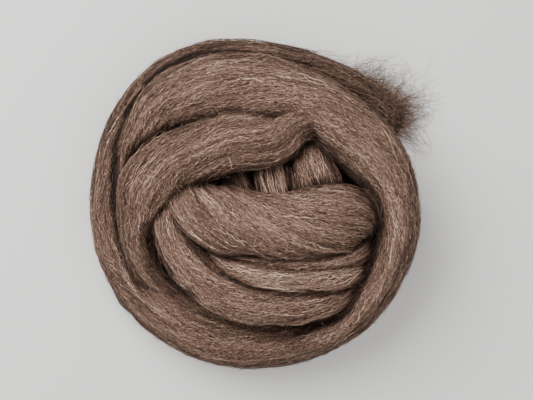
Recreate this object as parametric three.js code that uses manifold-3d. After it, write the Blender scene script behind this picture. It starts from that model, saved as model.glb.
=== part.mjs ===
// Wool roving wound into a nest-like ball, with its frayed end lying loose beside it.
// Millimetres, +Z up, resting on z = 0, origin under the middle of its bounding box.
import * as THREE from 'three';
import { mergeVertices } from 'three/addons/utils/BufferGeometryUtils.js';
import Module from 'manifold-3d';

const wasm = await Module();
wasm.setup();

// Driving sizes
const centreX = 6.2;            // the middle of ball and loose end, from the ball's own axis
const centreY = 0.2;
const stepLength = 5.5;         // spacing of the sections along a strand
const coreRadius = 54;          // the hidden turns that fill the middle
const coreTop = 33;
const coreShoulder = 22;        // height where the core starts to round in
const coreCrown = 0.72;         // the top's radius, as a share of the core's
const coreSides = 24;
const floorSpan = 400;          // the block that trims the flat underside
const floorDepth = 40;
const loft = 0.8;               // how far the loose wool stands out all round a wound turn
const gap = 0.45;               // between the ball and the loose end
const weld = 1e-4;              // points nearer than this are one point
const columns = ['x', 'y', 'z', 'wide', 'thick'];

// A row for each section: its place, then its width across and its thickness up and down
const around = (rows) => rows.map(([turn, radius, ...rest]) => {
  const angle = THREE.MathUtils.degToRad(turn);
  return [radius * Math.cos(angle), radius * Math.sin(angle), ...rest];
});

// The turns that go round the outside: turn in degrees, radius, z, wide, thick.
// The lower and the middle turn lie under the others and carry them.
const lowerTurn = around([
  [-110, 46, 13, 22, 26],
  [-80, 50, 13, 28, 30],
  [-55, 52, 14, 32, 31],
  [-30, 54, 14, 33, 31],
  [-5, 54, 14, 33, 31],
  [20, 52, 14, 32, 31],
  [42, 47, 14, 28, 31],
  [62, 42, 14, 22, 28],
]);
const middleTurn = around([
  [45, 38, 24, 14, 18],
  [62, 42, 28, 20, 24],
  [85, 45, 30, 24, 28],
  [110, 46, 30, 26, 28],
  [135, 47, 29, 26, 28],
  [160, 47, 28, 24, 26],
  [185, 45, 26, 18, 22],
]);
// From the loose end it goes round low, then climbs on the right and crosses the top
const outerTurn = around([
  [70, 61.5, 12.5, 24, 26],
  [90, 61.5, 15.5, 24, 32],
  [110, 63, 17.5, 27, 36],
  [130, 63.5, 18.5, 27, 38],
  [150, 62.5, 18.5, 27, 38],
  [170, 61.5, 18, 26, 37],
  [190, 62, 17, 26.5, 35],
  [210, 62.8, 16.5, 25.5, 34],
  [230, 62.5, 16.5, 25, 34],
  [250, 63, 17, 24, 34],
  [270, 63, 18.5, 21.5, 35],
  [290, 64.8, 21.5, 18, 36],
  [310, 66.5, 26.5, 16, 36],
  [330, 65.5, 32.5, 16, 35],
  [350, 64.5, 38, 17, 33],
  [370, 60.2, 42, 21.5, 31],
  [385, 55.8, 45, 26, 29],
  [400, 52.3, 47, 26, 27],
  [415, 51, 48, 24, 26],
  [430, 49.5, 48, 26, 26],
  [450, 49.5, 47, 30, 25],
  [470, 52.5, 44.5, 30, 25],
  [490, 58.5, 40.5, 22, 24],
  [505, 59.5, 36, 15, 22],
  [518, 60, 30, 11, 18],
  [532, 59, 23, 8, 12],
]);
// Spreads out from the notch on the right and tucks in at the lower left
const broadBand = around([
  [16, 52, 32, 12, 16],
  [30, 51, 38, 13, 18],
  [44, 49, 43, 14, 20],
  [56, 45, 46, 15, 22],
  [65, 38, 49, 18, 23],
  [73, 31, 50.5, 22, 24],
  [88, 28, 51.5, 23, 24],
  [110, 29.5, 51, 25, 24],
  [135, 31.5, 49, 22, 25],
  [155, 39.5, 46, 27, 26],
  [172, 45.5, 42, 29, 27],
  [185, 50.5, 37, 20, 26],
  [196, 54.5, 32, 14.5, 24],
  [210, 57, 27, 13, 22],
  [225, 57, 21, 12, 20],
  [242, 58, 15, 9, 16],
]);

// The turns that are tucked across the middle: x, y, z, wide, thick
const lowSwoop = [
  [-34, 6, 32, 12, 16],
  [-38, -3, 41, 13, 18],
  [-38, -12, 46, 14, 20],
  [-34, -22, 48, 16, 20],
  [-26, -32, 49, 17, 20],
  [-15, -40, 48, 17, 20],
  [0, -45, 47, 17, 20],
  [20, -46, 45, 15, 20],
  [34, -43, 40, 13, 19],
  [43, -37, 31, 12, 16],
  [47, -31, 20, 12, 14],
];
const brightRidge = [
  [-21, -20, 40, 8, 12],
  [-13, -27, 46, 9, 13],
  [-3, -32, 49, 10, 14],
  [8, -34, 50, 10, 14],
  [20, -35, 49, 10, 14],
  [31, -35, 47, 11, 14],
  [40, -32, 42, 11, 14],
  [46, -28, 30, 11, 14],
];
const underLobe = [
  [-20, -15, 42, 9, 13],
  [-4, -23, 46, 10, 14],
  [16, -25, 47, 12, 14],
  [33, -24, 45, 12, 14],
  [44, -21, 40, 13, 14],
  [50, -16, 27, 12, 12],
];
const middleLobe = [
  [-42, 10, 28, 16, 16],
  [-32, 1, 42, 22, 20],
  [-24, -4, 49, 25, 22],
  [-13, -7, 53, 28, 24],
  [2, -9, 55, 26, 25],
  [20, -9, 55, 28, 25],
  [36, -6, 52, 29, 24],
  [45, -5, 44, 22, 20],
  [49.5, -8, 30, 14, 16],
];
// Three short loops that come up from under the broad band
const knuckles = [
  [[-13, 20, 22, 9, 12], [-10.5, 14, 32, 12, 14], [-7.5, 7, 39, 13, 14], [-3, -3, 33, 12, 14]],
  [[5, 24, 24, 11, 14], [7.5, 17, 35, 14, 16], [9, 9, 43, 16.5, 16], [12, -3, 38, 17, 14]],
  [[20, 34, 20, 11, 12], [22, 27, 34, 13.5, 15], [25, 18, 45, 16, 17], [28, 8, 47, 19, 16],
    [32, -3, 36, 18, 14]],
];

// The loose end on the floor: x, y, z, wide, thick
const looseTongue = [
  [14.5, 62, 11.5, 20, 23],
  [28, 58.5, 10, 20, 21],
  [41.5, 52.5, 7.5, 20, 16],
  [53, 46, 4, 20, 11],
  [62, 38, 2.4, 18, 7],
  [67, 33, 1.4, 12, 4],
];
// The locks that its tip frays into, fanned out flat on the floor
const lockCount = 18;
const lockFan = { from: 95, to: -60 };     // heading of the first and the last lock
const lockReach = { least: 15, most: 25 };
const lockRoot = { x: 56, y: 40, spread: 7 };
const lockWidth = 4.4;
const lockThickness = 3;
const lockTip = 0.25;           // a lock's size at its tip, as a share of its root
const lockCurl = { least: 8, most: 14 };   // degrees that a lock turns on its way
const lockSwing = 2.4;          // steps the length and curl on from one lock to the next
const lockSteps = [0, 0.25, 0.5, 0.75, 1];
const lockLift = 0.05;          // clears the floor under the lowest locks

// Each strand's rows and sides, the soft ridges raised along it, and the turns that they twist
const plain = { ridges: 0, depth: 0, turns: 0 };
const windings = [
  { rows: lowerTurn, sides: 14, ...plain },
  { rows: middleTurn, sides: 12, ...plain },
  { rows: outerTurn, sides: 20, ridges: 5, depth: 0.05, turns: 0.5 },
  { rows: broadBand, sides: 18, ridges: 5, depth: 0.06, turns: 0.1 },
];
const tucked = [
  { rows: lowSwoop, sides: 14, ridges: 4, depth: 0.05, turns: 0.15 },
  { rows: brightRidge, sides: 12, ...plain },
  { rows: underLobe, sides: 12, ...plain },
  { rows: middleLobe, sides: 20, ridges: 6, depth: 0.04, turns: -0.8 },
  ...knuckles.map((rows) => ({ rows, sides: 12, ...plain })),
];

// A smooth run through the rows of a table, read column by column
function readRow(rows, along) {
  const place = along * (rows.length - 1);
  const first = Math.min(Math.floor(place), rows.length - 2);
  const part = place - first;
  const row = (index) => {
    if (index < 0) return rows[0].map((value, i) => 2 * value - rows[1][i]);
    if (index >= rows.length) {
      return rows.at(-1).map((value, i) => 2 * value - rows.at(-2)[i]);
    }
    return rows[index];
  };
  const values = columns.map((name, i) => {
    const [before, start, end, after] = [-1, 0, 1, 2].map((offset) => row(first + offset)[i]);
    const leave = (end - before) / 2;
    const arrive = (after - start) / 2;
    const bend = 3 * (end - start) - 2 * leave - arrive;
    const settle = 2 * (start - end) + leave + arrive;
    return start + part * (leave + part * (bend + part * settle));
  });
  return Object.fromEntries(columns.map((name, i) => [name, values[i]]));
}

function pathLength(rows) {
  let length = 0;
  for (let i = 1; i < rows.length; i += 1) {
    length += Math.hypot(...[0, 1, 2].map((axis) => rows[i][axis] - rows[i - 1][axis]));
  }
  return length;
}

// A closed tube whose sections follow the rows, made from a unit cylinder
function windStrand({ rows, sides, ridges, depth, turns }, grow = loft) {
  const steps = Math.ceil(pathLength(rows) / stepLength);
  const shape = new THREE.CylinderGeometry(1, 1, 1, sides, steps);
  shape.rotateY(Math.PI / sides);
  const points = shape.getAttribute('position');
  const up = new THREE.Vector3(0, 0, 1);
  const nudge = 1e-3;
  for (let i = 0; i < points.count; i += 1) {
    const along = THREE.MathUtils.clamp(points.getY(i) + 0.5, 0, 1);
    const section = readRow(rows, along);
    const before = readRow(rows, Math.max(along - nudge, 0));
    const after = readRow(rows, Math.min(along + nudge, 1));
    const forward = new THREE.Vector3(after.x - before.x, after.y - before.y, after.z - before.z);
    forward.normalize();
    const side = new THREE.Vector3().crossVectors(forward, up).normalize();
    const top = new THREE.Vector3().crossVectors(side, forward);
    const angle = Math.atan2(points.getZ(i), points.getX(i));
    const ridge = 1 + depth * Math.cos(ridges * (angle - 2 * Math.PI * turns * along));
    const across = points.getX(i) * (section.wide / 2 * ridge + grow);
    const height = points.getZ(i) * (section.thick / 2 * ridge + grow);
    const place = new THREE.Vector3(section.x, section.y, section.z);
    place.addScaledVector(side, across).addScaledVector(top, height);
    points.setXYZ(i, place.x, place.y, place.z);
  }
  return shape;
}

// Joining and cutting
function toSolid(geometry) {
  const shape = geometry.clone();
  shape.deleteAttribute('normal');
  shape.deleteAttribute('uv');
  const merged = mergeVertices(shape, weld);
  return new wasm.Manifold(new wasm.Mesh({
    numProp: 3,
    vertProperties: new Float32Array(merged.getAttribute('position').array),
    triVerts: new Uint32Array(merged.getIndex().array),
  }));
}

function toGeometry(solid) {
  const { vertProperties, triVerts } = solid.getMesh();
  const geometry = new THREE.BufferGeometry();
  geometry.setAttribute('position', new THREE.BufferAttribute(vertProperties, 3));
  geometry.setIndex(new THREE.BufferAttribute(triVerts, 1));
  geometry.computeVertexNormals();
  return geometry;
}

function floorBlock() {
  const block = new THREE.BoxGeometry(floorSpan, floorSpan, floorDepth);
  block.translate(0, 0, -floorDepth / 2);
  return toSolid(block);
}

// The biggest body of a solid, without the slivers that strands can close in between them
function mainBody(solid) {
  return solid.decompose().reduce((best, body) => (body.volume() > best.volume() ? body : best));
}

// The hidden turns in the middle, as one plain round
function makeCore(grow = 0) {
  const radius = coreRadius + grow;
  const profile = [
    [0, 0],
    [radius, 0],
    [radius, coreShoulder],
    [radius * coreCrown, coreTop + grow],
    [0, coreTop + grow],
  ].map(([across, z]) => new THREE.Vector2(across, z));
  const core = new THREE.LatheGeometry(profile, coreSides);
  core.rotateX(Math.PI / 2);
  return toSolid(core);
}

function makeBall() {
  let ball = makeCore();
  for (const strand of [...windings, ...tucked]) ball = ball.add(toSolid(windStrand(strand)));
  return mainBody(ball.subtract(floorBlock()));
}

// One lock: a curl that runs out along the floor and thins to its tip
function makeLock(index) {
  const part = index / (lockCount - 1);
  const heading = THREE.MathUtils.degToRad(THREE.MathUtils.lerp(lockFan.from, lockFan.to, part));
  const swing = (1 + Math.sin(index * lockSwing)) / 2;
  const reach = THREE.MathUtils.lerp(lockReach.least, lockReach.most, swing);
  const curl = THREE.MathUtils.degToRad(THREE.MathUtils.lerp(lockCurl.least, lockCurl.most, swing));
  const lift = lockLift * (1 + index % 3);
  const rows = lockSteps.map((along) => {
    const size = THREE.MathUtils.lerp(1, lockTip, along);
    const angle = heading + curl * along;
    const thick = lockThickness * size;
    return [
      lockRoot.x + lockRoot.spread * Math.cos(heading) + reach * along * Math.cos(angle),
      lockRoot.y + lockRoot.spread * Math.sin(heading) + reach * along * Math.sin(angle),
      thick / 2 * Math.SQRT1_2 + lift,
      lockWidth * size,
      thick,
    ];
  });
  return toSolid(windStrand({ rows, sides: 4, ...plain }, 0));
}

// The loose end: a flattened tongue with its locks, clear of the turns that it runs under
function makeLooseEnd() {
  let end = toSolid(windStrand({ rows: looseTongue, sides: 16, ...plain }, 0)).subtract(floorBlock());
  for (const strand of windings) end = end.subtract(toSolid(windStrand(strand, loft + gap)));
  end = end.subtract(makeCore(gap));
  for (let index = 0; index < lockCount; index += 1) end = end.add(makeLock(index));
  return mainBody(end);
}

// The part
const wool = { roughness: 0.95, metalness: 0 };
const pieces = {
  roving_ball: { solid: makeBall(), material: { color: 0x7d6c61, ...wool } },
  loose_end: { solid: makeLooseEnd(), material: { color: 0x75665c, ...wool } },
};
const model = new THREE.Group();
for (const [name, { solid, material }] of Object.entries(pieces)) {
  const mesh = new THREE.Mesh(toGeometry(solid), new THREE.MeshStandardMaterial(material));
  mesh.name = name;
  model.add(mesh);
}
model.position.set(-centreX, -centreY, 0);

export default model;
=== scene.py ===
# Wool roving wound into a nest-like ball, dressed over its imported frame.
import math

import bmesh
import bpy
import numpy as np
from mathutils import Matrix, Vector
from mathutils.bvhtree import BVHTree


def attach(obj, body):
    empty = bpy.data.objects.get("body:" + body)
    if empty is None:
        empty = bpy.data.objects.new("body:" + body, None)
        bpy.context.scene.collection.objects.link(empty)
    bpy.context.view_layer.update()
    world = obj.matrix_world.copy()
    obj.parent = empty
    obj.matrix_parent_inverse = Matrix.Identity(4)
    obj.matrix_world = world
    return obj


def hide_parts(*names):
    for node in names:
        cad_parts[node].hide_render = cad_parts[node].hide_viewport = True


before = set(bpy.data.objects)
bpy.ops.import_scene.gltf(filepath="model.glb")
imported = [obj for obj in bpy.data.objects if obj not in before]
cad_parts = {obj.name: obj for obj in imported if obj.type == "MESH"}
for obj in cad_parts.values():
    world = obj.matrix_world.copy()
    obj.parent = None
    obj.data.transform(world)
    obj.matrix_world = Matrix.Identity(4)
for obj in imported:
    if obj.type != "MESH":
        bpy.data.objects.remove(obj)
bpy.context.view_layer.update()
print("frame loaded")

mm = 0.001
bakeMap = "OFBake"
ballAxis = (6.2, 0.2)  # where the origin lies from the ball's own axis, mm
floorGap = 0.05        # nothing comes nearer the floor than this, mm
loft = 0.8             # how far the solids stand outside the turns below, mm
weld = 0.01            # points nearer than this are one point, mm
anyPhase = (0, 6.3)    # where a wave may start, radians
fullWave = 6.283       # one wave, radians


def seeded(name, seed):
    # one generator for each piece, so that a change to one leaves the others alone
    return np.random.default_rng([seed] + [ord(letter) for letter in name])


def drawn(random, span, count):
    # a column of numbers drawn evenly from the span
    return random.uniform(*span, count)[:, None]


def scattered(random, spread, count):
    # a column of numbers that scatter about zero, most of them within the spread
    return random.normal(0, spread, count)[:, None]


def toFrame(points):
    # from the ball's own axis in mm to the frame in metres
    moved = points.copy()
    moved[..., 0] -= ballAxis[0]
    moved[..., 1] -= ballAxis[1]
    return moved * mm


def unit(vectors):
    return vectors / (np.linalg.norm(vectors, axis=-1)[..., None] + 1e-9)


# Strands. Each is a run of sections: x, y, z, width across and thickness up and down, in mm.
# ridges and depth are the soft ridges raised along it, turns the wool's twist in the whole strand,
# groove the size of its finer hollows, mm. gap is a hollow beside the turn above, in rows of
# mm along, degrees round the strand, mm deep.
def around(rows):
    # makes x and y of the turn in degrees and the radius that start each row
    turned = []
    for turn, radius, *rest in rows:
        angle = math.radians(turn)
        turned.append((radius * math.cos(angle), radius * math.sin(angle), *rest))
    return turned


strandTable = {
    "lowerTurn": {
        "rows": around([
            (-110, 46, 13, 22, 26),
            (-80, 50, 13, 28, 30),
            (-55, 52, 14, 32, 31),
            (-30, 54, 14, 33, 31),
            (-5, 54, 14, 33, 31),
            (20, 52, 14, 32, 31),
            (42, 47, 14, 28, 31),
            (62, 42, 14, 22, 28),
        ]),
        "turns": 0.2, "groove": 0.6,
    },
    "middleTurn": {
        "rows": around([
            (45, 38, 24, 14, 18),
            (62, 42, 28, 20, 24),
            (85, 45, 30, 24, 28),
            (110, 46, 30, 26, 28),
            (135, 47, 29, 26, 28),
            (160, 47, 28, 24, 26),
            (185, 45, 26, 18, 22),
        ]),
        "turns": 0.2, "groove": 0.6,
    },
    "outerTurn": {
        "rows": around([
            (70, 61.5, 12.5, 24, 26),
            (90, 61.5, 15.5, 24, 32),
            (110, 63, 17.5, 27, 36),
            (130, 63.5, 18.5, 27, 38),
            (150, 62.5, 18.5, 27, 38),
            (170, 61.5, 18, 26, 37),
            (190, 62, 17, 26.5, 35),
            (210, 62.8, 16.5, 25.5, 34),
            (230, 62.5, 16.5, 25, 34),
            (250, 63, 17, 24, 34),
            (270, 63, 18.5, 21.5, 35),
            (290, 64.8, 21.5, 18, 36),
            (310, 66.5, 26.5, 16, 36),
            (330, 65.5, 32.5, 16, 35),
            (350, 64.5, 38, 17, 33),
            (370, 60.2, 42, 21.5, 31),
            (385, 55.8, 45, 26, 29),
            (400, 52.3, 47, 26, 27),
            (415, 51, 48, 24, 26),
            (430, 49.5, 48, 26, 26),
            (450, 49.5, 47, 30, 25),
            (470, 52.5, 44.5, 30, 25),
            (490, 57.8, 40.5, 23.4, 24),
            (505, 58.8, 36, 16.4, 22),
            (518, 60, 30, 11, 18),
            (532, 59, 23, 8, 12),
        ]),
        "ridges": 5, "depth": 0.05, "turns": 0.5, "groove": 0.7,
        "gap": [
            (0, 68, 3), (17, 65, 2.4), (43, 49, 3), (65, 50, 3.4), (87, 63, 3.2),
            (109, 81, 2.8), (125, 90, 2.2), (150, 88, 1.6), (170, 86, 0),
        ],
    },
    "broadBand": {
        "rows": around([
            (16, 52, 32, 12, 16),
            (30, 51, 38, 13, 18),
            (44, 49, 43, 14, 20),
            (56, 45, 46, 15, 22),
            (65, 38, 49, 18, 23),
            (73, 31, 50.5, 22, 24),
            (88, 28, 51.5, 23, 24),
            (110, 29.5, 51, 25, 24),
            (135, 32.6, 49, 24.2, 25),
            (155, 39.6, 46, 27.2, 26),
            (172, 45.5, 42, 29, 27),
            (185, 50.5, 37, 20, 26),
            (196, 54.5, 32, 14.5, 24),
            (210, 57, 27, 13, 22),
            (225, 57, 21, 12, 20),
            (242, 58, 15, 9, 16),
        ]),
        "ridges": 5, "depth": 0.06, "turns": 0.1, "groove": 0.7,
    },
    "lowSwoop": {
        "rows": [
            (-33, 6, 32, 12, 16),
            (-36.5, -3, 41, 13, 18),
            (-36.5, -11.5, 46, 14, 20),
            (-32.5, -21, 48, 16, 20),
            (-25, -30.5, 49, 17, 20),
            (-14.5, -38.5, 48, 17, 20),
            (0, -43.5, 47, 17, 20),
            (19.5, -44.5, 45, 15, 20),
            (33, -41.5, 40, 13, 19),
            (41.5, -36, 31, 12, 16),
            (45.5, -30.5, 20, 12, 14),
        ],
        "ridges": 4, "depth": 0.05, "turns": 0.15, "groove": 0.55,
    },
    "brightRidge": {
        "rows": [
            (-21, -20, 40, 8, 12),
            (-13, -26, 46, 9, 13),
            (-3, -30, 49, 11, 14),
            (8, -32, 50, 11.5, 14),
            (20, -33, 49, 11.5, 14),
            (31, -33, 47, 12, 14),
            (40, -31, 42, 11, 14),
            (46, -28, 30, 11, 14),
        ],
        "turns": 0.1, "groove": 0.4,
    },
    "underLobe": {
        "rows": [
            (-20, -15, 42, 9, 13),
            (-4, -23, 46, 10, 14),
            (16, -25, 47, 12, 14),
            (33, -24, 45, 12, 14),
            (44, -21, 40, 13, 14),
            (50, -16, 27, 12, 12),
        ],
        "turns": 0.1, "groove": 0.4,
    },
    "middleLobe": {
        "rows": [
            (-42, 10, 28, 16, 16),
            (-32, 1, 42, 22, 20),
            (-24, -4, 49, 25, 22),
            (-13, -7, 53, 28, 24),
            (2, -9, 55, 26, 25),
            (20, -9, 55, 28, 25),
            (36, -6, 52, 29, 24),
            (44, -5, 44, 21, 20),
            (48, -8, 30, 14, 16),
        ],
        "ridges": 6, "depth": 0.04, "turns": -0.8, "groove": 0.55,
    },
    "knuckleLeft": {
        "rows": [
            (-13, 20, 22, 9, 12),
            (-10.5, 14, 32, 12, 14),
            (-7.5, 7, 39, 13, 14),
            (-3, -3, 33, 12, 14),
        ],
        "turns": 0.05, "groove": 0.4,
    },
    "knuckleMiddle": {
        "rows": [
            (5, 24, 24, 11, 14),
            (7.5, 17, 35, 14, 16),
            (9, 9, 43, 16.5, 16),
            (12, -3, 38, 17, 14),
        ],
        "turns": 0.05, "groove": 0.4,
    },
    "knuckleRight": {
        "rows": [
            (20, 34, 20, 11, 12),
            (22, 27, 34, 13.5, 15),
            (25, 18, 45, 16, 17),
            (28, 8, 47, 19, 16),
            (32, -3, 36, 18, 14),
        ],
        "turns": -0.05, "groove": 0.4,
    },
    "looseEnd": {
        "rows": [
            (14.5, 62, 11.5, 20, 23),
            (28, 58.5, 10, 20, 21),
            (41.5, 52.5, 7.5, 20, 16),
            (53, 46, 4, 20, 11),
            (62, 38, 2.4, 18, 7),
            (67, 33, 1.4, 12, 4),
        ],
        "turns": 0.1, "groove": 0.45,
        "gap": [(0, 98, 2.8), (20, 90, 2.8), (38, 82, 2.4), (50, 78, 1), (58, 76, 0)],
    },
    "baseTurns": {  # the plain coil under the ball
        "rows": around([(turn, 50 - turn * 0.05, 7, 19, 15) for turn in range(0, 900, 30)]),
        "groove": 0.4,
    },
}


def readMap(table, step, angle, run):
    # between the four nearest values of a map that goes along a strand and round it
    rows, columns = table.shape
    down = np.clip(run / step, 0, rows - 1.01)
    over = (angle / (2 * math.pi) * columns) % columns
    row, column = down.astype(int), over.astype(int)
    downPart, overPart = down - row, over - column
    column, after = column % columns, (column + 1) % columns
    near = table[row, column] * (1 - overPart) + table[row, after] * overPart
    far = table[row + 1, column] * (1 - overPart) + table[row + 1, after] * overPart
    return near * (1 - downPart) + far * downPart


class Strand:
    # a smooth run through the rows of a strand, with its ridges, grooves, tufts and gap
    readings = 60        # places read for each row
    grain = 0.5          # spacing of the stored sections, mm
    gapWide = 1.7        # half the width of a gap, mm
    tipLong = 5          # how far from an end a body starts to round in, mm
    leastReach = 2.5     # mm for each radian, where a strand runs out
    clumps = {"along": 5.5, "across": 2.2, "height": 0.3}  # the small tufts in its wool, mm
    grooves = {          # waves that run round the strand, each with its own size and sway
        "counts": (3, 5, 7, 9, 12, 15, 19, 24, 30), "size": 0.6, "fade": 0.35, "share": (0.5, 1),
        "sway": (0.5, 1.6), "pace": (9, 26),
    }
    streaks = {"finer": 4, "sway": 1.4, "scale": 3.2}

    def __init__(self, name, rows, groove, turns=0, ridges=0, depth=0, gap=None):
        self.name, self.ridges, self.depth, self.turns = name, ridges, depth, turns
        self.gap = np.array(gap or [(0, 90, 0)], float).T
        table = np.array(rows, float)
        table = np.vstack([2 * table[0] - table[1], table, 2 * table[-1] - table[-2]])
        place = np.linspace(0, len(rows) - 1, len(rows) * self.readings)
        first = np.minimum(place.astype(int), len(rows) - 2)
        part = (place - first)[:, None]
        before, start, end, after = (table[first + step] for step in range(4))
        leave, arrive = (end - before) / 2, (after - start) / 2
        bend = 3 * (end - start) - 2 * leave - arrive
        settle = 2 * (start - end) + leave + arrive
        run = start + part * (leave + part * (bend + part * settle))
        gone = np.concatenate([[0], np.cumsum(np.linalg.norm(np.diff(run[:, :3], axis=0), axis=1))])
        self.length = gone[-1]
        at = np.arange(0, self.length, self.grain)
        self.sections = np.stack([np.interp(at, gone, column) for column in run.T], 1)
        self.along = np.interp(at, gone, place / (len(rows) - 1))
        self.forward = unit(np.gradient(self.sections[:, :3], axis=0))
        self.side = unit(np.cross(self.forward, (0, 0, 1)))
        self.up = np.cross(self.side, self.forward)
        self.widest = math.pi * float((self.sections[:, 3] + self.sections[:, 4]).max()) / 2
        random = seeded(name, 11)
        facts = self.grooves
        self.waves = [
            (count, groove * facts["size"] / count ** facts["fade"] * random.uniform(*facts["share"]),
             *random.uniform(*anyPhase, 2), random.uniform(*facts["sway"]), random.uniform(*facts["pace"]))
            for count in facts["counts"]
        ]
        rows, columns = self.length / self.clumps["along"], self.widest / self.clumps["across"]
        self.tufts = random.normal(0, 1, (math.ceil(rows) + 2, round(columns)))

    def read(self, run):
        # a reader of the stored sections at each place along, and how far past an end that is
        inside = np.clip(run, 0, (len(self.along) - 1.01) * self.grain)
        low = (inside / self.grain).astype(int)
        part = inside / self.grain - low

        def mix(values):
            share = part[..., None] if values.ndim > 1 else part
            return values[low] + (values[low + 1] - values[low]) * share

        return mix, run - inside

    def lay(self, angle, run):
        # the angle in the twisted wool itself, which its fibres and grooves follow
        return angle - 2 * math.pi * self.turns * self.read(run)[0](self.along)

    def groove(self, angle, run):
        lay = self.lay(angle, run)
        total = 0
        for count, size, phase, shift, sway, pace in self.waves:
            total = total + size * np.cos(count * lay + phase + sway * np.sin(run / pace + shift))
        return total

    def tuft(self, angle, run):
        return readMap(self.tufts, self.clumps["along"], self.lay(angle, run), run)

    def gapDepth(self, angle, run):
        at, turned, deep = self.gap
        off = (angle - np.radians(np.interp(run, at, turned)) + math.pi) % (2 * math.pi) - math.pi
        off = off * self.reach(angle, run) / self.gapWide
        return np.interp(run, at, deep) * np.exp(-off ** 2)

    def streak(self, angle, run):
        # from about -1 to 1, in streaks that run with the wool
        lay, facts = self.lay(angle, run), self.streaks
        total = 0
        for count, size, phase, shift, sway, pace in self.waves:
            swayed = facts["sway"] * sway * np.cos(run / pace + phase)
            total = total + np.sin((count + facts["finer"]) * lay + shift + swayed)
        return total / facts["scale"]

    def place(self, angle, run, lift, closed=False):
        # a point on the strand; closed rounds its two ends to a point
        mix, past = self.read(run)
        section = mix(self.sections)
        ridge = 1 + self.depth * np.cos(self.ridges * self.lay(angle, run))
        raised = self.groove(angle, run) + self.clumps["height"] * self.tuft(angle, run) + lift
        raised = raised - self.gapDepth(angle, run)
        across = (section[..., 3] / 2 * ridge + raised) * np.cos(angle)
        height = (section[..., 4] / 2 * ridge + raised) * np.sin(angle)
        if closed:
            tip = np.clip(np.minimum(run, self.length - run) / self.tipLong, 0, 1)
            across, height = (size * np.sqrt(1 - (1 - tip) ** 2) for size in (across, height))
        point = section[..., :3] + mix(self.forward) * past[..., None]
        point = point + mix(self.side) * across[..., None] + mix(self.up) * height[..., None]
        point[..., 2] = np.maximum(point[..., 2], floorGap)
        return point

    def outward(self, angle, run):
        mix, past = self.read(run)
        section = mix(self.sections)
        across = (np.cos(angle) / section[..., 3])[..., None] * mix(self.side)
        height = (np.sin(angle) / section[..., 4])[..., None] * mix(self.up)
        return unit(across + height)

    def girth(self, run):
        section = self.read(run)[0](self.sections)
        return math.pi * (section[..., 3] + section[..., 4]) / 2

    def reach(self, angle, run):
        # mm along the surface for each radian round it
        section = self.read(run)[0](self.sections)
        across, height = section[..., 3] / 2 * np.sin(angle), section[..., 4] / 2 * np.cos(angle)
        return np.maximum(np.hypot(across, height), self.leastReach)


strands = {name: Strand(name, **facts) for name, facts in strandTable.items()}


# How shut in the wool is, from 0 in the open to 1 in a crevice, on a coarse map of each strand. It is
# painted shade: the wool's tone is darkened where this is high.
shutIn = {
    "cell": 2.4, "round": 40,       # the map's step along in mm, and its steps round
    "rays": 22, "start": 1.3,       # sent out from each place, from so many mm off the solid
    "lean": 0.98,                   # just under 1, so that no ray runs back into the wool
    "reach": 22, "far": 0.35,       # mm, and how much a far wall counts
    "close": 2.0, "near": 2.0,      # and a near one
    "low": 60, "lowShade": 0.3,     # what lies lower than this is shaded a little more
    "gap": 0.26,                    # and each mm that a gap goes down
}


def solidTree(node):
    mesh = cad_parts[node].data
    return BVHTree.FromPolygons(
        [vertex.co for vertex in mesh.vertices], [tuple(face.vertices) for face in mesh.polygons])


trees = {"ball": solidTree("roving_ball"), "end": solidTree("loose_end")}


def spread(count):
    # directions spread evenly over a ball
    step = np.arange(count) + 0.5
    tilt, turn = np.arccos(1 - 2 * step / count), math.pi * (1 + 5 ** 0.5) * step
    return np.stack([np.cos(turn) * np.sin(tilt), np.sin(turn) * np.sin(tilt), np.cos(tilt)], 1)


def mapShutIn(strand):
    runs = np.linspace(0, strand.length, max(4, round(strand.length / shutIn["cell"])))
    angles = np.arange(shutIn["round"]) / shutIn["round"] * 2 * math.pi
    run, angle = np.meshgrid(runs, angles, indexing="ij")
    normals = strand.outward(angle, run)
    starts = toFrame(strand.place(angle, run, loft + shutIn["start"]))
    heard = np.zeros(run.shape)
    reach = shutIn["reach"] * mm
    for index in np.ndindex(*run.shape):
        start = Vector(starts[index])
        for way in unit(normals[index] + spread(shutIn["rays"]) * shutIn["lean"]):
            hits = [tree.ray_cast(start, Vector(way), reach)[3] for tree in trees.values()]
            nearest = min((hit for hit in hits if hit is not None), default=reach)
            heard[index] += shutIn["far"] * (1 - nearest / reach)
            heard[index] += shutIn["near"] * math.exp(-nearest / mm / shutIn["close"])
    # and a little more where it lies low, as the floor sends it less light than the sky
    low = np.clip(1 - starts[..., 2] / mm / shutIn["low"], 0, 1) * shutIn["lowShade"]
    strand.shut = np.minimum(heard / shutIn["rays"] + low, 1)
    strand.shutStep = strand.length / (len(runs) - 1)


def readShutIn(strand, angle, run):
    # painted shade: each mm that a gap goes down darkens the wool there
    gap = strand.gapDepth(angle, run) * shutIn["gap"]
    return np.minimum(readMap(strand.shut, strand.shutStep, angle, run) + gap, 1)


for strand in strands.values():
    mapShutIn(strand)
print("crevices mapped")


# Materials
class Value:
    # a socket that can be added, subtracted and multiplied
    def __init__(self, finish, socket):
        self.finish, self.socket = finish, socket

    def math(self, operation, first, second):
        return self.finish.node("ShaderNodeMath", {"operation": operation}, {0: first, 1: second})

    def __add__(self, other):
        return self.math("ADD", self, other)

    def __mul__(self, other):
        return self.math("MULTIPLY", self, other)

    def __sub__(self, other):
        return self.math("SUBTRACT", self, other)

    def __rsub__(self, other):
        return self.math("SUBTRACT", other, self)

    __radd__, __rmul__ = __add__, __mul__


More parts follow.
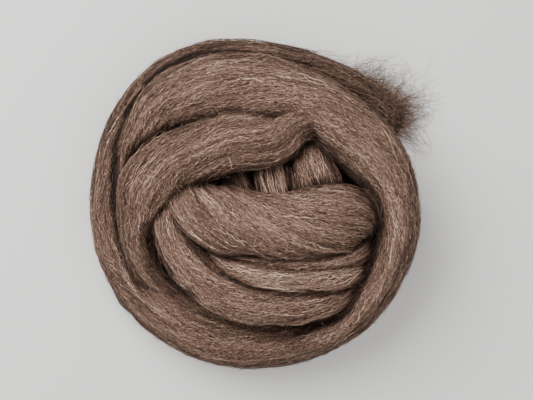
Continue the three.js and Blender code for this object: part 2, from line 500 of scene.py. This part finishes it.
class Finish:
    def __init__(self, name):
        self.material = bpy.data.materials.new(name)
        self.material.use_nodes = True
        self.tree = self.material.node_tree
        self.tree.nodes.clear()

    def node(self, kind, settings=None, sockets=None, output=0):
        made = self.tree.nodes.new(kind)
        for name, setting in (settings or {}).items():
            if name == "stops":
                ramp = made.color_ramp
                while len(ramp.elements) < len(setting):
                    ramp.elements.new(0.5)
                for element, (position, colour) in zip(ramp.elements, setting):
                    element.position, element.color = position, (*colour, 1)
            else:
                setattr(made, name, setting)
        for name, value in (sockets or {}).items():
            if isinstance(value, Value):
                self.tree.links.new(value.socket, made.inputs[name])
            else:
                made.inputs[name].default_value = value
        return Value(self, made.outputs[output]) if len(made.outputs) > 0 else None

    def chartPlace(self):
        # how far across and along the piece's own map
        vector = self.node("ShaderNodeUVMap", {"uv_map": bakeMap})
        first = self.node("ShaderNodeSeparateXYZ", {}, {"Vector": vector})
        return [Value(self, socket) for socket in first.socket.node.outputs[:2]]

    def noise(self, x, y, detail):
        place = self.node("ShaderNodeCombineXYZ", {}, {"X": x, "Y": y})
        return self.node("ShaderNodeTexNoise", {}, {"Vector": place, "Scale": 1, "Detail": detail})

    def ready(self, shader):
        self.node("ShaderNodeOutputMaterial", {}, {"Surface": shader})
        return self.material


wool = {
    "tones": [
        (0.0, (0.014, 0.007, 0.005)),
        (0.25, (0.058, 0.030, 0.020)),
        (0.5, (0.152, 0.084, 0.058)),
        (0.75, (0.320, 0.196, 0.143)),
        (1.0, (0.640, 0.470, 0.370)),
    ],
    "rough": 0.62, "roughDepth": 0.2,
    "sheen": 0.08, "sheenRough": 0.5,
    "sheenTint": (0.80, 0.62, 0.50, 1),
    "specular": 0.2,
}


def woolShader(finish, tone, fine, height=None):
    colour = finish.node("ShaderNodeValToRGB", {"stops": wool["tones"]}, {"Fac": tone})
    sockets = {
        "Base Color": colour,
        "Roughness": fine * wool["roughDepth"] + wool["rough"],
        "Specular IOR Level": wool["specular"],
        "Sheen Weight": wool["sheen"],
        "Sheen Roughness": wool["sheenRough"],
        "Sheen Tint": wool["sheenTint"],
    }
    if height:
        sockets["Normal"] = finish.node("ShaderNodeBump", {}, {
            "Height": height, "Strength": bodyWool["bump"], "Distance": bodyWool["bumpHigh"]})
    return finish.ready(finish.node("ShaderNodeBsdfPrincipled", {}, sockets))


bodyWool = {
    # below the fibres' tone: painted shade for the wool that lies deep under them
    "tone": 0.38,
    "fineWide": 0.34, "fineLong": 2.6, "fineDepth": 1.9,      # mm, and how far it moves the tone
    "streakWide": 2.6, "streakLong": 16, "streakDepth": 0.7,
    "crimp": 5.6, "crimpSize": 0.4,                           # length and size of one wave, mm
    "driftAcross": 0.5, "driftAlong": 0.06, "drift": 14,      # how the waves fall out of step
    "shade": 0.85,                                            # how far a crevice darkens the tone
    "bump": 0.8, "bumpHigh": 0.0004,
}


def bodyMaterial(name, girth, length, turns):
    # fibres finer than the modelled ones, on the strand's own map, with painted shade that darkens it
    # where it is shut in
    finish = Finish(name)
    facts = bodyWool
    x, y = finish.chartPlace()
    shade = finish.node("ShaderNodeAttribute", {"attribute_name": "shutIn"}, {}, 2)
    gone = y * length
    lay = (x - y * turns) * girth
    drift = finish.noise(lay * facts["driftAcross"], gone * facts["driftAlong"], 1) * facts["drift"]
    crimped = gone * (fullWave / facts["crimp"]) + drift
    wave = finish.node("ShaderNodeMath", {"operation": "SINE"}, {0: crimped})
    lay = lay + wave * facts["crimpSize"]
    fine = finish.noise(lay * (1 / facts["fineWide"]), gone * (1 / facts["fineLong"]), 3)
    streak = finish.noise(lay * (1 / facts["streakWide"]), gone * (1 / facts["streakLong"]), 1)
    tone = (fine - 0.5) * facts["fineDepth"] + (streak - 0.5) * facts["streakDepth"] + facts["tone"]
    # painted shade: the tone is lowered by how shut in the wool is
    return woolShader(finish, tone - shade * facts["shade"], fine, fine + streak)


flecked = {"across": 150, "along": 22, "detail": 3, "depth": 2.2}  # depth is how far it moves the tone


def fibreMaterial():
    # a chart of tones: across it from dark to pale, along it the flecks of each fibre
    finish = Finish("woolFibre")
    x, y = finish.chartPlace()
    flecks = finish.noise(x * flecked["across"], y * flecked["along"], flecked["detail"])
    return woolShader(finish, x + (flecks - 0.5) * flecked["depth"], flecks)


fibreWool = fibreMaterial()

# The strands' own bodies
bodyMesh = {"across": 1.7, "along": 2.4, "leastSides": 20}  # a face's size in mm, and the fewest round


def finishPiece(name, mesh, material):
    piece = bpy.data.objects.new(name, mesh)
    bpy.context.scene.collection.objects.link(piece)
    mesh.materials.append(material)
    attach(piece, "root")
    return piece


def windBody(strand):
    sides = max(bodyMesh["leastSides"], round(strand.widest / bodyMesh["across"]))
    steps = round(strand.length / bodyMesh["along"])
    grid = bmesh.new()
    grid.loops.layers.uv.new(bakeMap)
    shade = grid.verts.layers.float.new("shutIn")
    bmesh.ops.create_grid(grid, x_segments=sides, y_segments=steps, size=0.5, calc_uvs=True)
    flat = np.array([vertex.co for vertex in grid.verts])
    angle = (flat[:, 0] + 0.25) * 2 * math.pi  # its seam lies underneath
    run = np.clip(flat[:, 1] + 0.5, 0, 1) * strand.length
    wound = toFrame(strand.place(angle, run, 0, closed=True))
    # the painted shade of crevices and gaps, kept on each point for the material
    shaded = readShutIn(strand, angle, run)
    for vertex, point, dark in zip(grid.verts, wound, shaded):
        vertex.co = point
        vertex[shade] = dark
    bmesh.ops.remove_doubles(grid, verts=grid.verts, dist=weld * mm)
    bmesh.ops.recalc_face_normals(grid, faces=grid.faces)
    for face in grid.faces:
        face.smooth = True
    mesh = bpy.data.meshes.new(strand.name)
    grid.to_mesh(mesh)
    grid.free()
    return finishPiece(
        strand.name, mesh, bodyMaterial(strand.name + "Wool", strand.widest, strand.length, strand.turns))


bodies = {name: windBody(strand) for name, strand in strands.items()}
print("bodies wound:", sum(len(body.data.polygons) for body in bodies.values()) * 2, "triangles")

# The middle, as a plain round under all the turns
middle = {
    "radius": 50, "low": 6, "shoulder": 22, "top": 33,
    "crown": 0.72,             # the top's radius, as a share of the whole
    "sides": 64,
    # painted shade: the whole middle is darkened as if shut in under the turns
    "shutIn": 0.8,
    "chart": 125,              # mm across its map
}


def turnMiddle():
    profile = [(0, "low"), (1, "low"), (1, "shoulder"), (middle["crown"], "top"), (0, "top")]
    turned = bmesh.new()
    layer = turned.loops.layers.uv.new(bakeMap)
    shade = turned.verts.layers.float.new("shutIn")
    centre = toFrame(np.zeros(3))
    rim = [
        turned.verts.new((centre[0] + share * middle["radius"] * mm, centre[1], middle[level] * mm))
        for share, level in profile
    ]
    edges = [turned.edges.new(pair) for pair in zip(rim, rim[1:])]
    bmesh.ops.spin(
        turned, geom=rim + edges, cent=centre, axis=(0, 0, 1),
        angle=2 * math.pi, steps=middle["sides"], use_merge=True)
    bmesh.ops.remove_doubles(turned, verts=turned.verts, dist=weld * mm)
    bmesh.ops.recalc_face_normals(turned, faces=turned.faces)
    for vertex in turned.verts:
        vertex[shade] = middle["shutIn"]
    for face in turned.faces:
        face.smooth = True
        for loop in face.loops:
            loop[layer].uv = [0.5 + loop.vert.co[axis] / (middle["chart"] * mm) for axis in (0, 1)]
    mesh = bpy.data.meshes.new("middle")
    turned.to_mesh(mesh)
    turned.free()
    return finishPiece("middle", mesh, bodyMaterial("middleWool", middle["chart"], middle["chart"], 0))


core = turnMiddle()
for piece in [core, *bodies.values()]:
    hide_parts("loose_end" if piece is bodies["looseEnd"] else "roving_ball")


# Fibres, as narrow bands of a few wool hairs each
def deepIn(points, limit):
    # whether each point, in mm, lies deeper than the limit inside the ball's wool
    result = np.zeros(len(points), bool)
    for index, point in enumerate(toFrame(points)):
        near, normal, face, distance = trees["ball"].find_nearest(point)
        if distance > (limit + loft) * mm:
            result[index] = normal.dot(near - Vector(point)) > 0
    return result


# How a fibre's tone and its place along are laid out on its map
toneChart = {
    "wide": 0.018,             # how far it reaches to each side, for each mm of its width
    "widths": (0.001, 0.02),
    "tones": (0.004, 0.996),
    "start": (0.02, 0.58), "long": 0.4,
}


class Fibres:
    # rows of points with their outward sides, widths, tones and lean, gathered for one mesh
    def __init__(self):
        self.batches = []

    def add(self, points, normals, widths, tones, lean):
        self.batches.append((points, normals, widths, tones, lean))

    def make(self, name):
        random = seeded(name, 5)
        points, normals, widths, tones, lean = (np.concatenate(parts) for parts in zip(*self.batches))
        count, rings = points.shape[:2]
        forward = unit(np.gradient(points, axis=1))
        sides = unit(np.cross(forward, normals))
        raised = np.cross(sides, forward)
        sides = sides * np.cos(lean)[:, None, None] + raised * np.sin(lean)[:, None, None]
        half = sides * widths[..., None] / 2
        edges = np.stack([points + half, points - half], 2)
        edges[..., 2] = np.maximum(edges[..., 2], floorGap)
        corners = (np.arange(count)[:, None] * rings + np.arange(rings - 1)) * 2
        corners = np.stack([corners, corners + 1, corners + 3, corners + 2], -1).reshape(-1, 4)
        mesh = bpy.data.meshes.new(name)
        mesh.vertices.add(edges.size // 3)
        mesh.vertices.foreach_set("co", toFrame(edges).astype(np.float32).ravel())
        mesh.loops.add(corners.size)
        mesh.loops.foreach_set("vertex_index", corners.astype(np.int32).ravel())
        mesh.polygons.add(len(corners))
        mesh.polygons.foreach_set("loop_start", np.arange(len(corners), dtype=np.int32) * 4)
        mesh.polygons.foreach_set("use_smooth", np.ones(len(corners), bool))
        mesh.update(calc_edges=True)
        # across the chart by tone, along it from a place of the fibre's own
        wide = np.clip(widths * toneChart["wide"], *toneChart["widths"])
        over = np.clip(np.stack([tones + wide, tones - wide], 2), *toneChart["tones"])
        down = drawn(random, toneChart["start"], count) + np.linspace(0, toneChart["long"], rings)
        down = np.broadcast_to(down[..., None], over.shape)
        chart = np.stack([over, down], -1).reshape(-1, 2)
        chart = chart[corners.ravel()].astype(np.float32)
        mesh.uv_layers.new(name=bakeMap).data.foreach_set("uv", chart.ravel())
        mesh.validate()
        piece = finishPiece(name, mesh, fibreWool)
        print(name, len(mesh.polygons) * 2, "triangles")
        return piece


combing = {
    "density": 0.6,                                     # fibres for each square mm of a strand
    "overhang": 1.0,                                    # how far they start past its ends, mm
    "length": (9, 19), "longest": 0.7,                  # mm, and as a share of the strand
    "width": (0.12, 0.38), "taper": 0.65,
    "rings": 13,
    "crimp": (3.8, 6.4), "crimpSize": (0.18, 0.5),      # length and size of one wave, mm
    "crimpLift": 0.35,
    "inStep": 1.5, "outOfStep": 1.1,                    # what moves a wave along, radians
    "sway": 0.35, "swayPace": 8.5,                      # a slower wave than the crimp, mm
    "slant": 0.13,                                      # off the strand's own way, as a slope
    "lift": (0.0, 0.9), "endRise": (-0.6, 0.2),         # mm off the wool, in all and at the ends
    "strays": 0.08, "strayRise": (0.6, 2.2),            # share whose ends stand off it, and how far
    "deep": 1.1,                                        # what lies deeper in the ball is left out, mm
    "under": -0.35, "underLeftOut": 0.55,               # and a share of what faces down
    "shutFrom": 0.55, "shutLeftOut": 1.6,               # and of what is shut in
    "tone": 0.51, "toneSpread": 0.13, "toneRange": (0.03, 0.97),
    "streakTone": 0.07, "tuftTone": 0.05,
    "shade": 0.75,                                      # how far a crevice darkens the tone
    "pale": 0.045, "paleTone": (0.7, 0.88), "paleWidth": 0.6,  # share of pale fibres
    "lean": 0.45,
}


def combStrand(fibres, strand, density, tone=0, span=None):
    # lays fibres along the strand, or along a span of it, and leaves out those that are hidden
    random = seeded(strand.name, 21)
    facts = combing
    low, high = span or (-facts["overhang"], strand.length + facts["overhang"])
    count = int(strand.widest * (high - low) * density * facts["density"])
    run = random.uniform(low, high, count)
    angle = random.uniform(0, 2 * math.pi, count)
    keep = random.uniform(0, strand.widest, count) < strand.girth(run)
    run, angle = run[keep], angle[keep]
    count, share = len(run), np.linspace(-0.5, 0.5, facts["rings"])

    def draw(name):
        return drawn(random, facts[name], count)

    length = np.minimum(draw("length"), strand.length * facts["longest"])
    along = length * share
    runs = run[:, None] + along
    angles = angle[:, None] + 2 * math.pi * strand.turns / strand.length * along
    local = strand.streak(angle, run)[:, None]
    phase = 2 * math.pi * runs / draw("crimp") + facts["inStep"] * local
    phase = phase + scattered(random, facts["outOfStep"], count)
    crimp = draw("crimpSize")
    across = crimp * np.sin(phase) + scattered(random, facts["slant"], count) * along
    sway = facts["sway"] * scattered(random, 1, count)
    across = across + sway * np.sin(runs / facts["swayPace"] + drawn(random, anyPhase, count))
    angles = angles + across / strand.reach(angles, runs)
    stray = random.uniform(0, 1, count)[:, None] < facts["strays"]
    rise = np.where(stray, draw("strayRise"), draw("endRise"))
    lifts = draw("lift") + facts["crimpLift"] * crimp * np.cos(phase) + rise * np.abs(2 * share) ** 3
    points = strand.place(angles, runs, lifts)
    normals = strand.outward(angles, runs)
    shut = readShutIn(strand, angles, runs)
    early, half, late = (facts["rings"] // 4 * quarter for quarter in (1, 2, 3))
    hidden = deepIn(points[:, half], facts["deep"])
    before, after = (deepIn(points[~hidden, ring], facts["deep"]) for ring in (early, late))
    hidden[~hidden] = before & after
    under = normals[:, half, 2] < facts["under"]
    shown = ~hidden & ~(under & (random.uniform(0, 1, count) < facts["underLeftOut"]))
    shown &= random.uniform(0, 1, count) > (shut[:, half] - facts["shutFrom"]) * facts["shutLeftOut"]
    widths = draw("width") * (1 - facts["taper"] * np.abs(2 * share) ** 4)
    tones = facts["tone"] + tone + facts["streakTone"] * local
    tones = tones + facts["tuftTone"] * strand.tuft(angle, run)[:, None]
    tones = tones + scattered(random, facts["toneSpread"], count)
    pale = random.uniform(0, 1, count)[:, None] < facts["pale"]
    tones = np.where(pale, draw("paleTone"), tones)
    widths = np.where(pale, widths * facts["paleWidth"], widths)
    # painted shade: fibres that are shut in are given darker tones
    tones = np.clip(tones - facts["shade"] * shut, *facts["toneRange"])
    lean = random.normal(0, facts["lean"], count)
    fibres.add(points[shown], normals[shown], widths[shown], tones[shown], lean[shown])


# The strands of each piece, with their density, their change of tone and what is combed, mm along
fibrePieces = {
    # the low and rising runs of the outer turn are toned up a little: painted light where the lamps leave
    # them darker
    "outerFibresLow": [("outerTurn", 0.95, 0.04, (-1, 165))],
    "outerFibresRise": [("outerTurn", 0.95, 0.06, (165, 320))],
    "outerFibresTop": [("outerTurn", 1.0, 0, (320, 530))],
    "bandFibres": [("broadBand", 1.15, -0.02)],
    "lobeFibres": [
        ("middleLobe", 1.15, -0.02), ("knuckleLeft", 1, 0.06),
        ("knuckleMiddle", 1, 0.28), ("knuckleRight", 1, 0.03),
    ],
    "swoopFibres": [("lowSwoop", 1.1, 0.01), ("brightRidge", 1.1, 0.18), ("underLobe", 1.1, 0.08)],
    "innerFibres": [("lowerTurn", 0.6, -0.04), ("middleTurn", 0.5, 0), ("baseTurns", 0.12, 0)],
    "looseFibres": [("looseEnd", 1, 0.03, (-1, 52))],
}
for name, parts in fibrePieces.items():
    fibres = Fibres()
    for strand, *facts in parts:
        combStrand(fibres, strands[strand], *facts)
    fibres.make(name)

# Hairs that stand off the wool and cross it, as a soft halo
halo = {
    "density": 0.034,          # hairs for each square mm of a strand
    "openAir": 0.42,           # none start where the wool is shut in more than this
    "length": (10, 30),
    "width": (0.07, 0.13), "taper": 0.6,
    "rings": 13,
    "slant": 0.5,              # spread of their headings across the strand, radians
    "curl": 0.055,             # turn for each mm, radians
    "start": 0.3, "rise": (0.4, 2.6), "bend": 1.7,   # mm off the wool, and how late they rise
    "tone": (0.35, 0.8),
}


def walk(heading, curl, length, rings):
    # a curling way over a flat surface: how far along and across at each ring
    step = length[:, None] / (rings - 1)
    headings = heading[:, None] + curl[:, None] * step * np.arange(rings)
    along, across = np.cumsum(np.cos(headings), 1) * step, np.cumsum(np.sin(headings), 1) * step
    return along, across


def strayHairs(fibres, strand):
    random, facts = seeded(strand.name, 31), halo
    count = int(strand.widest * strand.length * facts["density"])
    run = random.uniform(0, strand.length, count)
    angle = random.uniform(0, 2 * math.pi, count)
    clear = readShutIn(strand, angle, run) < facts["openAir"]
    run, angle = run[clear], angle[clear]
    count = len(run)
    back = random.integers(0, 2, count) * math.pi
    heading = back + random.normal(0, facts["slant"], count)
    curl = random.normal(0, facts["curl"], count)
    along, across = walk(heading, curl, random.uniform(*facts["length"], count), facts["rings"])
    runs = run[:, None] + along
    angles = angle[:, None] + 2 * math.pi * strand.turns / strand.length * along
    angles = angles + across / strand.reach(angles, runs)
    share = np.linspace(0, 1, facts["rings"])
    low, high = facts["rise"]
    rise = low + (high - low) * drawn(random, (0, 1), count) ** 2
    lifts = facts["start"] + rise * share ** facts["bend"]
    points, normals = strand.place(angles, runs, lifts), strand.outward(angles, runs)
    widths = drawn(random, facts["width"], count) * (1 - facts["taper"] * share)
    tones = drawn(random, facts["tone"], count) + 0 * share
    fibres.add(points, normals, widths, tones, random.uniform(0, math.pi, count))


hairs = Fibres()
for name, strand in strands.items():
    if name not in ("baseTurns", "looseEnd"):
        strayHairs(hairs, strand)
hairs.make("strayHairs")

# Pale hairs that curl back on themselves
loopTable = {  # how many lie on each strand, and between which shares of its length
    "middleLobe": {"count": 22, "from": 0.35, "to": 0.8},
    "outerTurn": {"count": 20, "from": 0.42, "to": 0.8},
    "broadBand": {"count": 10, "from": 0.35, "to": 0.8},
    "lowSwoop": {"count": 8, "from": 0.3, "to": 0.7},
}
loops = {
    "rings": 17,
    "length": (6, 17),
    "width": (0.1, 0.19), "taper": 0.4,
    "turn": (1.2, 4.4),        # in all, radians
    "side": 0.2,               # they keep so many radians off the strand's sides
    "lift": (0.7, 1.3), "arch": 0.4,
    "deep": 0.3,
    "tone": (0.8, 0.97),
    "lean": 0.4,
}


def curlLoops(fibres, strand, facts):
    random = seeded(strand.name, 41)
    count = facts["count"]
    run = random.uniform(facts["from"], facts["to"], count) * strand.length
    angle = random.uniform(loops["side"], math.pi - loops["side"], count)
    length = random.uniform(*loops["length"], count)
    turn = random.uniform(*loops["turn"], count) * random.choice([-1, 1], count)
    along, across = walk(random.uniform(*anyPhase, count), turn / length, length, loops["rings"])
    runs = run[:, None] + along
    angles = angle[:, None] + across / strand.reach(angle, run)[:, None]
    share = np.linspace(0, 1, loops["rings"])
    lifts = drawn(random, loops["lift"], count) * np.sin(math.pi * share) ** loops["arch"]
    points, normals = strand.place(angles, runs, lifts), strand.outward(angles, runs)
    shown = ~deepIn(points[:, loops["rings"] // 2], loops["deep"])
    widths = drawn(random, loops["width"], count) * (1 - loops["taper"] * np.abs(2 * share - 1) ** 2)
    tones = drawn(random, loops["tone"], count) + 0 * share
    lean = random.normal(0, loops["lean"], shown.sum())
    fibres.add(points[shown], normals[shown], widths[shown], tones[shown], lean)


curls = Fibres()
for name, facts in loopTable.items():
    curlLoops(curls, strands[name], facts)
curls.make("paleCurls")

# The frayed end on the floor: locks that fan out, and single hairs between them
locks = {
    "count": 18, "from": 95, "to": -60,       # headings of the first and last, degrees
    "reach": (15, 25), "curl": (8, 14),       # mm and degrees
    "swing": 2.4,                             # steps both on from one lock to the next
    "root": (55, 41), "spread": 7, "wide": 5.5, "thick": 3,
    "thinning": 0.7, "thinnest": 0.25,        # towards the tip, as a share of the root
    "hairs": 50, "shortest": 0.25,            # in each lock, and as a share of its reach
    "start": (0, 0.2),                        # how far back they start, as a share of it too
    "stray": 0.16, "strayFrom": 0.3,          # spread of their headings, and the part at the root
    "off": 0.42, "height": (0.1, 1),          # shares of its width and its thickness
}
singles = {
    "count": 900,
    "along": (2.2, 1.4),       # beta distribution of their starts along the tongue
    "off": (-0.5, 0.2),        # and across it, most of them on its outer side
    "turned": 0.4, "outward": 1.7, "heading": 0.5,   # off the tongue's own heading, radians
    "length": (8, 30), "lengthBias": 1.5,
    "curl": 0.06,
    "height": (0.2, 0.9),      # where they start, as a share of its thickness
    "settle": 1.6, "arch": (0, 2.4),
}
fray = {  # what both have
    "rings": 15,
    "width": (0.07, 0.2), "taper": 0.75,
    "tone": (0.2, 0.66),
    "crimp": 5.6, "crimpSize": 0.35,
    "lean": 0.6,
    "lowest": 0.12,
    "farthest": (89.5, 72),    # as far as the frayed wool goes, in x and y
}


def finishFray(random, x, y, z, share, count):
    # crimps the hairs and gives them their width and tone
    steps = np.stack([np.gradient(x, axis=1), np.gradient(y, axis=1)], -1)
    gone = np.cumsum(np.linalg.norm(steps, axis=-1), 1)
    steps = unit(steps)
    phase = drawn(random, anyPhase, count)
    wave = fray["crimpSize"] * np.sin(2 * math.pi * gone / fray["crimp"] + phase)
    x, y = x - steps[..., 1] * wave, y + steps[..., 0] * wave
    points = np.stack([x, y, np.maximum(z, fray["lowest"])], -1)
    normals = np.broadcast_to((0.0, 0.0, 1.0), points.shape)
    widths = drawn(random, fray["width"], count) * (1 - fray["taper"] * share ** 2)
    tones = drawn(random, fray["tone"], count) + 0 * share
    near = (x.max(1) < fray["farthest"][0]) & (y.max(1) < fray["farthest"][1])
    lean = random.normal(0, fray["lean"], near.sum())
    return points[near], normals[near], widths[near], tones[near], lean


def frayLocks(fibres):
    random = seeded("locks", 51)
    share = np.linspace(0, 1, fray["rings"])
    for index in range(locks["count"]):
        part = index / (locks["count"] - 1)
        heading = math.radians(locks["from"] + (locks["to"] - locks["from"]) * part)
        swing = (1 + math.sin(index * locks["swing"])) / 2
        reach, curl = (low + (high - low) * swing for low, high in (locks["reach"], locks["curl"]))
        count = locks["hairs"]
        full = locks["shortest"] + (1 - locks["shortest"]) * drawn(random, (0, 1), count) ** 2
        run = share * full - drawn(random, locks["start"], count)
        stray = scattered(random, locks["stray"], count)
        angle = heading + math.radians(curl) * run + stray * (locks["strayFrom"] + share)
        size = np.clip(1 - locks["thinning"] * run, locks["thinnest"], 1)
        off = scattered(random, locks["off"], count) * locks["wide"] / 2 * size
        x = locks["root"][0] + locks["spread"] * math.cos(heading) + reach * run * np.cos(angle)
        y = locks["root"][1] + locks["spread"] * math.sin(heading) + reach * run * np.sin(angle)
        x, y = x - off * np.sin(angle), y + off * np.cos(angle)
        z = drawn(random, locks["height"], count) * locks["thick"] * size
        fibres.add(*finishFray(random, x, y, z, share, count))


def frayHairs(fibres):
    random = seeded("hairs", 52)
    facts, count, rings = singles, singles["count"], fray["rings"]
    share = np.linspace(0, 1, rings)
    end = strands["looseEnd"]
    run = random.beta(*facts["along"], count) * end.length
    mix = end.read(run)[0]
    section = mix(end.sections)
    off = random.uniform(*facts["off"], count)
    start = section[:, :3] + mix(end.side) * (off * section[:, 3])[:, None]
    base = np.arctan2(mix(end.forward)[:, 1], mix(end.forward)[:, 0])
    heading = base + facts["turned"] - off * facts["outward"] + random.normal(0, facts["heading"], count)
    shortest, longest = facts["length"]
    length = shortest + (longest - shortest) * random.uniform(0, 1, count) ** facts["lengthBias"]
    along, across = walk(heading, random.normal(0, facts["curl"], count), length, rings)
    x, y = start[:, :1] + along, start[:, 1:2] + across
    height = drawn(random, facts["height"], count) * section[:, 4:5]
    arch = drawn(random, facts["arch"], count) * np.sin(math.pi * share)
    z = height * (1 - share) ** facts["settle"] + arch
    fibres.add(*finishFray(random, x, y, z, share, count))


frayed = Fibres()
frayLocks(frayed)
frayHairs(frayed)
frayPiece = frayed.make("frayedEnd")

# Floor, light and camera
studio = {
    "floor": (0.72, 0.71, 0.69, 1), "floorRough": 0.8, "floorSize": 2,
    "world": 0.52,
    "key": {"place": (-0.3, 0.3, 0.6), "size": 0.55, "power": 8.5},
    "fill": {"place": (0.15, -0.35, 0.7), "size": 0.9, "power": 3.5},
    "camera": {"place": (-0.001, 0.0016, 0.7), "lens": 100.6, "sensor": 36},
}


def makeFloor():
    sheet = bmesh.new()
    bmesh.ops.create_grid(sheet, x_segments=1, y_segments=1, size=studio["floorSize"])
    mesh = bpy.data.meshes.new("floor")
    sheet.to_mesh(mesh)
    sheet.free()
    floor = bpy.data.objects.new("floor", mesh)
    bpy.context.scene.collection.objects.link(floor)
    finish = Finish("floorPaint")
    paint = {"Base Color": studio["floor"], "Roughness": studio["floorRough"]}
    mesh.materials.append(finish.ready(finish.node("ShaderNodeBsdfPrincipled", {}, paint)))


def makeLight(name, place, size, power):
    light = bpy.data.lights.new(name, "AREA")
    light.size, light.energy = size, power
    lamp = bpy.data.objects.new(name, light)
    lamp.location = place
    lamp.rotation_euler = (-lamp.location).to_track_quat("-Z", "Y").to_euler()
    bpy.context.scene.collection.objects.link(lamp)


makeFloor()
makeLight("key", **studio["key"])
makeLight("fill", **studio["fill"])
world = bpy.data.worlds.new("studio")
world.use_nodes = True
world.node_tree.nodes["Background"].inputs["Color"].default_value = (1, 1, 1, 1)
world.node_tree.nodes["Background"].inputs["Strength"].default_value = studio["world"]
bpy.context.scene.world = world
lens = bpy.data.cameras.new("camera")
lens.lens, lens.sensor_width = studio["camera"]["lens"], studio["camera"]["sensor"]
camera = bpy.data.objects.new("camera", lens)
camera.location = studio["camera"]["place"]
bpy.context.scene.collection.objects.link(camera)
bpy.context.scene.camera = camera

print("scene ready")
